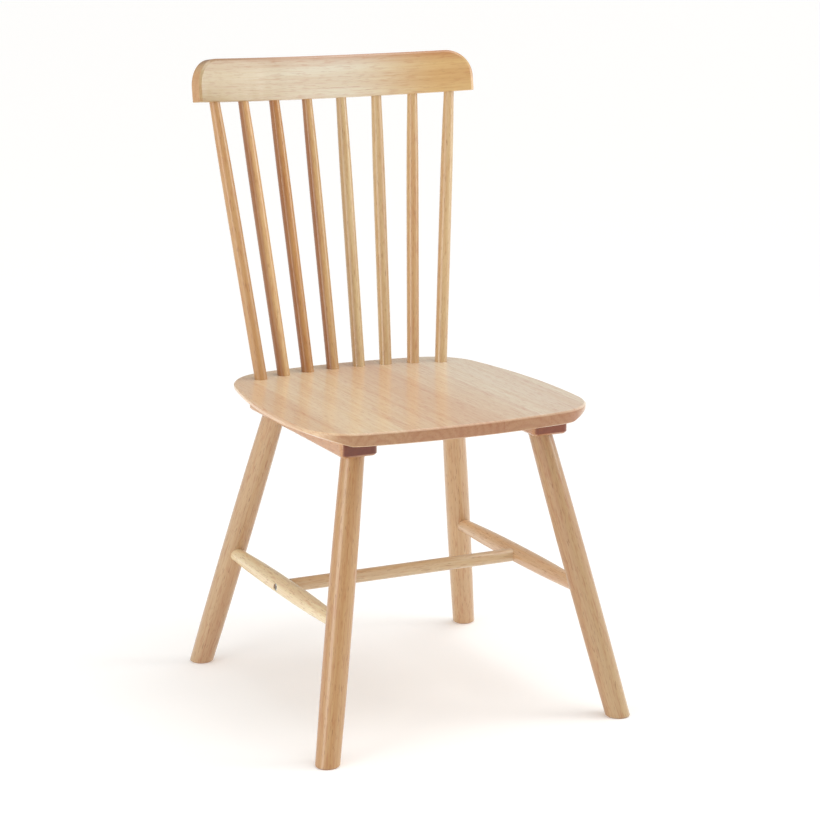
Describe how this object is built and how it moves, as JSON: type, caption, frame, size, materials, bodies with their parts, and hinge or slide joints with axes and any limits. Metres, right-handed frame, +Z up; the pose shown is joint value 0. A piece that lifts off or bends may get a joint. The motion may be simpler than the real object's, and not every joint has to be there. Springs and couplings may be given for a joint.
{
  "type": "dining chair",
  "caption": "Windsor dining chair: bent crest rail on round spindles, shaped plank seat, splayed turned legs and an H stretcher.",
  "frame": {"origin": "on the floor, under the middle of the chair's bounding box", "axes": "+Z up, +Y towards the back rest, +X to the right of the picture; the sitter faces -Y"},
  "size_m": [0.4804, 0.5422, 0.8988],
  "materials": {
    "seat_wood": "satin clear lacquer on pale rubberwood planks",
    "crest_wood": "satin clear lacquer, grain along the rail",
    "spindle_wood": "satin clear lacquer, grain along the spindle",
    "leg_wood": "satin clear lacquer, grain along the leg",
    "batten_wood": "satin clear lacquer",
    "zinc": "bright zinc plating"
  },
  "bodies": {
    "root": {"seat": "seat_wood", "left_batten": "batten_wood", "front_left_leg": "leg_wood", "rear_left_leg": "leg_wood", "left_side_stretcher": "leg_wood", "right_batten": "batten_wood", "front_right_leg": "leg_wood", "rear_right_leg": "leg_wood", "right_side_stretcher": "leg_wood", "cross_stretcher": "leg_wood", "spindle_1": "spindle_wood", "spindle_2": "spindle_wood", "spindle_3": "spindle_wood", "spindle_4": "spindle_wood", "spindle_5": "spindle_wood", "spindle_6": "spindle_wood", "spindle_7": "spindle_wood", "spindle_8": "spindle_wood", "crest_rail": "crest_wood", "stretcher_bolts": "zinc"}
  },
  "joints": []
}
